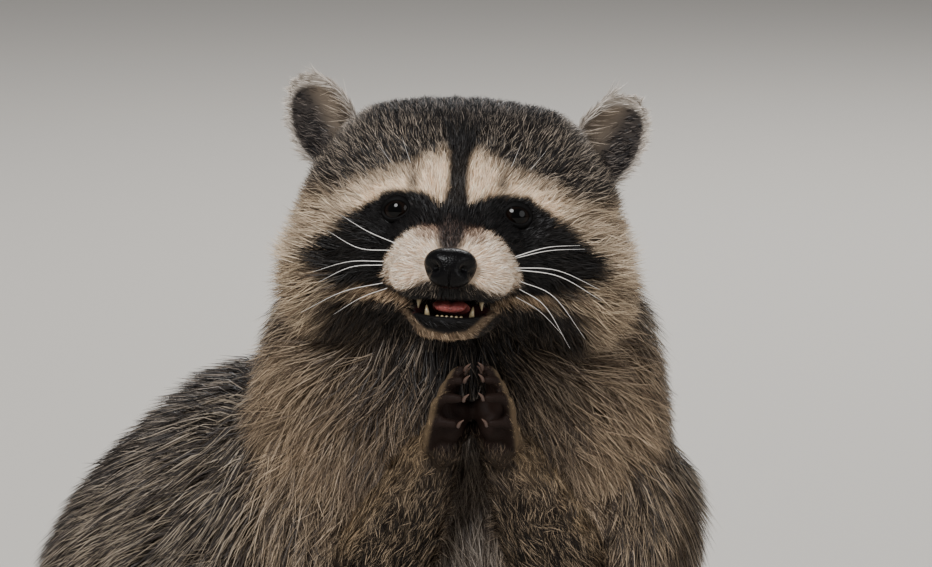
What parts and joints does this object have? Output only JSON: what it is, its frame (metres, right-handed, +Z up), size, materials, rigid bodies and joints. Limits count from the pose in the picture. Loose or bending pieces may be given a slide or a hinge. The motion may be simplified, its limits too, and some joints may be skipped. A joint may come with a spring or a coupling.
{
  "type": "raccoon",
  "caption": "Life-size raccoon sitting up on its haunches, forepaws held palm to palm under its chin, mouth slightly open, tail curled along its side.",
  "frame": {"origin": "on the floor, under the middle of the animal's bounding box", "axes": "+Z up; -Y is the way the face and chest look; +X is the animal's left"},
  "size_m": [0.4214, 0.3684, 0.385],
  "materials": {
    "grizzled_coat": "long grizzled guard hair over grey underfur",
    "pale_coat": "short cream and tan hair",
    "dark_coat": "dark brown to black hair",
    "paw_skin": "bare dark pads with short tan hair on the backs",
    "nose_leather": "moist pebbled black skin",
    "eyeball": "wet dark brown eye, opaque",
    "claw_horn": "smooth brownish horn",
    "mouth_flesh": "moist pink flesh"
  },
  "bodies": {
    "root": {"thigh_right": "grizzled_coat", "thigh_left": "grizzled_coat", "shank_right": "dark_coat", "shank_left": "dark_coat", "hindfoot_right": "paw_skin", "hindfoot_left": "paw_skin", "upper_arm_right": "grizzled_coat", "upper_arm_left": "grizzled_coat", "forearm_right": "dark_coat", "forearm_left": "dark_coat", "forepaw_right": "paw_skin", "forepaw_left": "paw_skin", "trunk": "grizzled_coat", "head": "grizzled_coat", "nose": "nose_leather", "ear_right": "dark_coat", "ear_left": "dark_coat", "eye_right": "eyeball", "eye_left": "eyeball", "lower_jaw": "pale_coat", "tongue": "mouth_flesh", "neck": "grizzled_coat", "tail_base": "dark_coat", "tail_middle": "dark_coat", "tail_tip": "dark_coat", "forepaw_claw_right_1": "claw_horn", "forepaw_claw_right_2": "claw_horn", "forepaw_claw_right_3": "claw_horn", "forepaw_claw_right_4": "claw_horn", "forepaw_claw_right_5": "claw_horn", "forepaw_claw_left_1": "claw_horn", "forepaw_claw_left_2": "claw_horn", "forepaw_claw_left_3": "claw_horn", "forepaw_claw_left_4": "claw_horn", "forepaw_claw_left_5": "claw_horn", "hindfoot_claw_right_1": "claw_horn", "hindfoot_claw_right_2": "claw_horn", "hindfoot_claw_right_3": "claw_horn", "hindfoot_claw_right_4": "claw_horn", "hindfoot_claw_right_5": "claw_horn", "hindfoot_claw_left_1": "claw_horn", "hindfoot_claw_left_2": "claw_horn", "hindfoot_claw_left_3": "claw_horn", "hindfoot_claw_left_4": "claw_horn", "hindfoot_claw_left_5": "claw_horn"}
  },
  "joints": []
}
